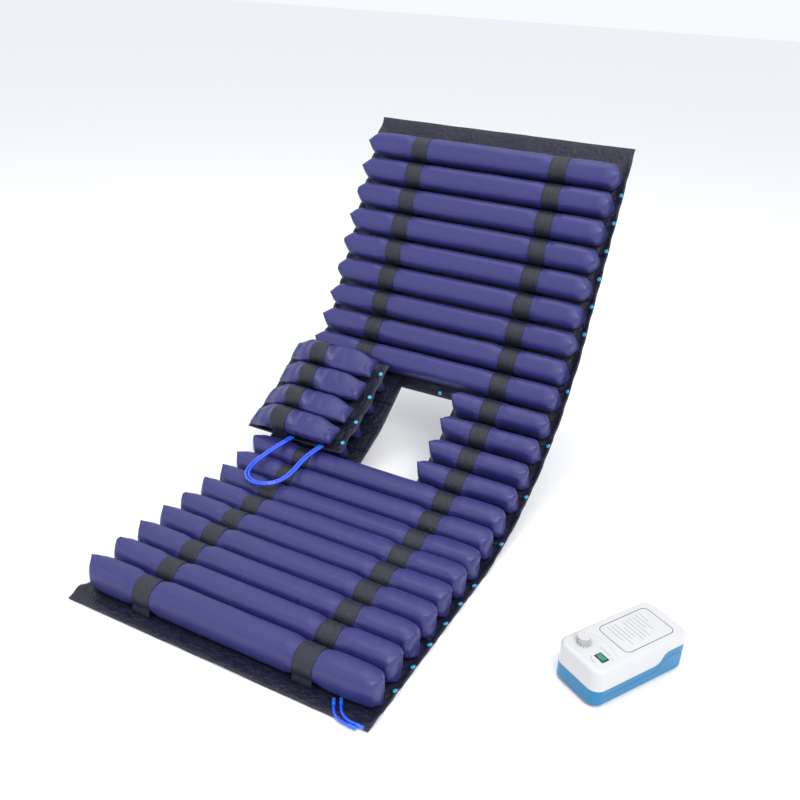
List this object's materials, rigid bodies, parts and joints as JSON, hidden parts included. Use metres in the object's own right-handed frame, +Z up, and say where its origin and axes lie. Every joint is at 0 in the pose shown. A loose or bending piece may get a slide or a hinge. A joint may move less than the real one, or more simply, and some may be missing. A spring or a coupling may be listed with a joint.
{
  "type": "alternating pressure relief mattress with pump",
  "caption": "Inflatable pressure relief mattress of transverse air cells on a bending sheet, with a commode opening, its loose plug and an air pump.",
  "frame": {"origin": "middle of the leg section's underside, on the surface that it lies on", "axes": "+X across the mattress to the side where the pump stands, +Y from the foot end to the head end, +Z up"},
  "size_m": [1.3919, 1.5422, 0.9409],
  "materials": {
    "cell_cloth": "coated nylon, smooth satin, fine wrinkles at the ends",
    "sheet_cloth": "coated nylon sheet, near-black navy, slight gloss",
    "strap_webbing": "woven nylon strip, dark navy, slight gloss",
    "snap_plastic": "moulded acetal press stud, light blue",
    "fitting_plastic": "moulded plastic, pale blue",
    "hose_pvc": "soft PVC, bright blue, glossy",
    "pump_white": "moulded ABS, white, glossy",
    "pump_blue": "moulded ABS, bright blue, fine texture",
    "foot_rubber": "moulded rubber, matt",
    "screw_steel": "zinc-plated steel",
    "black_plastic": "moulded plastic, black, satin",
    "coil_copper": "enamelled copper winding on a steel core",
    "motor_steel": "pressed steel can",
    "knob_white": "moulded ABS, white, satin, fine grip ribs",
    "rocker_green": "translucent green polycarbonate"
  },
  "bodies": {
    "leg_section": {"base_sheet_legs": "sheet_cloth", "air_cell_row_22": "cell_cloth", "air_cell_row_21": "cell_cloth", "air_cell_row_20": "cell_cloth", "air_cell_row_19": "cell_cloth", "air_cell_row_18": "cell_cloth", "air_cell_row_17": "cell_cloth", "air_cell_row_16": "cell_cloth", "straps_legs": "strap_webbing", "snaps_legs": "snap_plastic", "feed_hose_outer": "hose_pvc", "feed_hose_inner": "hose_pvc", "feed_hose_fittings": "fitting_plastic", "pump_top_shell": "pump_white", "pump_base_shell": "pump_blue", "pump_feet": "foot_rubber", "pump_screws": "screw_steel", "pump_switch_bezel": "black_plastic", "pump_outlets": "pump_blue", "pump_mains_inlet": "black_plastic", "pump_electromagnet": "coil_copper", "pump_air_chambers": "foot_rubber", "pump_valve_motor": "motor_steel"},
    "thigh_section": {"base_sheet_thigh": "sheet_cloth", "air_cell_row_15": "cell_cloth", "air_cell_row_14": "cell_cloth", "straps_thigh": "strap_webbing"},
    "seat_front_section": {"base_sheet_seat_front": "sheet_cloth", "air_cell_row_13": "cell_cloth", "air_cell_row_12": "cell_cloth", "straps_seat_front": "strap_webbing"},
    "seat_rear_section": {"base_sheet_seat_rear": "sheet_cloth", "air_cell_row_11": "cell_cloth", "air_cell_row_10": "cell_cloth", "straps_seat_rear": "strap_webbing"},
    "lumbar_section": {"base_sheet_lumbar": "sheet_cloth", "air_cell_row_09": "cell_cloth", "air_cell_row_08": "cell_cloth", "straps_lumbar": "strap_webbing"},
    "back_section": {"base_sheet_back": "sheet_cloth", "air_cell_row_07": "cell_cloth", "air_cell_row_06": "cell_cloth", "air_cell_row_05": "cell_cloth", "air_cell_row_04": "cell_cloth", "air_cell_row_03": "cell_cloth", "air_cell_row_02": "cell_cloth", "air_cell_row_01": "cell_cloth", "straps_back": "strap_webbing", "snaps_back": "snap_plastic"},
    "plug": {"plug_sheet": "sheet_cloth", "plug_cells": "cell_cloth", "plug_straps": "strap_webbing", "plug_snaps": "snap_plastic", "plug_hose_outer": "hose_pvc", "plug_hose_inner": "hose_pvc", "plug_hose_fittings": "fitting_plastic"},
    "flow_knob": {"pump_flow_knob": "knob_white"},
    "rocker_switch": {"pump_rocker_switch": "rocker_green"},
    "magnet_arm": {"pump_magnet_arm": "motor_steel"},
    "valve_disc": {"pump_valve_disc": "pump_white"}
  },
  "joints": [
    {"name": "thigh_bend", "type": "hinge", "parent": "leg_section", "child": "thigh_section", "pos_m": [0, 0.317, 0], "axis": [1, 0, 0], "range_deg": [-12.5, 0]},
    {"name": "seat_front_bend", "type": "hinge", "parent": "thigh_section", "child": "seat_front_section", "pos_m": [0, 0.49273, 0.03896], "axis": [1, 0, 0], "range_deg": [-12.5, 0]},
    {"name": "seat_rear_bend", "type": "hinge", "parent": "seat_front_section", "child": "seat_rear_section", "pos_m": [0, 0.65587, 0.11503], "axis": [1, 0, 0], "range_deg": [-12.5, 0]},
    {"name": "lumbar_bend", "type": "hinge", "parent": "seat_rear_section", "child": "lumbar_section", "pos_m": [0, 0.79867, 0.22461], "axis": [1, 0, 0], "range_deg": [-12.5, 0]},
    {"name": "back_bend", "type": "hinge", "parent": "lumbar_section", "child": "back_section", "pos_m": [0, 0.91437, 0.3625], "axis": [1, 0, 0], "range_deg": [-12.5, 0]},
    {"name": "plug_lift", "type": "slide", "parent": "seat_front_section", "child": "plug", "axis": [0, -0.5188, 0.8549], "range_m": [0, 0.25]},
    {"name": "flow_knob_turn", "type": "hinge", "parent": "leg_section", "child": "flow_knob", "pos_m": [0.74489, 0.06236, 0.101], "axis": [0, 0, 1], "range_deg": [-135, 135]},
    {"name": "rocker_tilt", "type": "hinge", "parent": "leg_section", "child": "rocker_switch", "pos_m": [0.79512, 0.03336, 0.1003], "axis": [0.5, 0.866, 0], "range_deg": [0, 14]},
    {"name": "magnet_arm_swing", "type": "hinge", "parent": "leg_section", "child": "magnet_arm", "pos_m": [0.82683, 0.08029, 0.025], "axis": [0, 0, 1], "range_deg": [-1.5, 1.5]},
    {"name": "valve_disc_turn", "type": "hinge", "parent": "leg_section", "child": "valve_disc", "pos_m": [0.83662, 0.21725, 0.03], "axis": [0, 0, 1], "continuous": true}
  ],
  "couplings": [
    {"joint": "seat_front_bend", "follows": "thigh_bend", "ratio": 1},
    {"joint": "seat_rear_bend", "follows": "thigh_bend", "ratio": 1},
    {"joint": "lumbar_bend", "follows": "thigh_bend", "ratio": 1},
    {"joint": "back_bend", "follows": "thigh_bend", "ratio": 1}
  ]
}
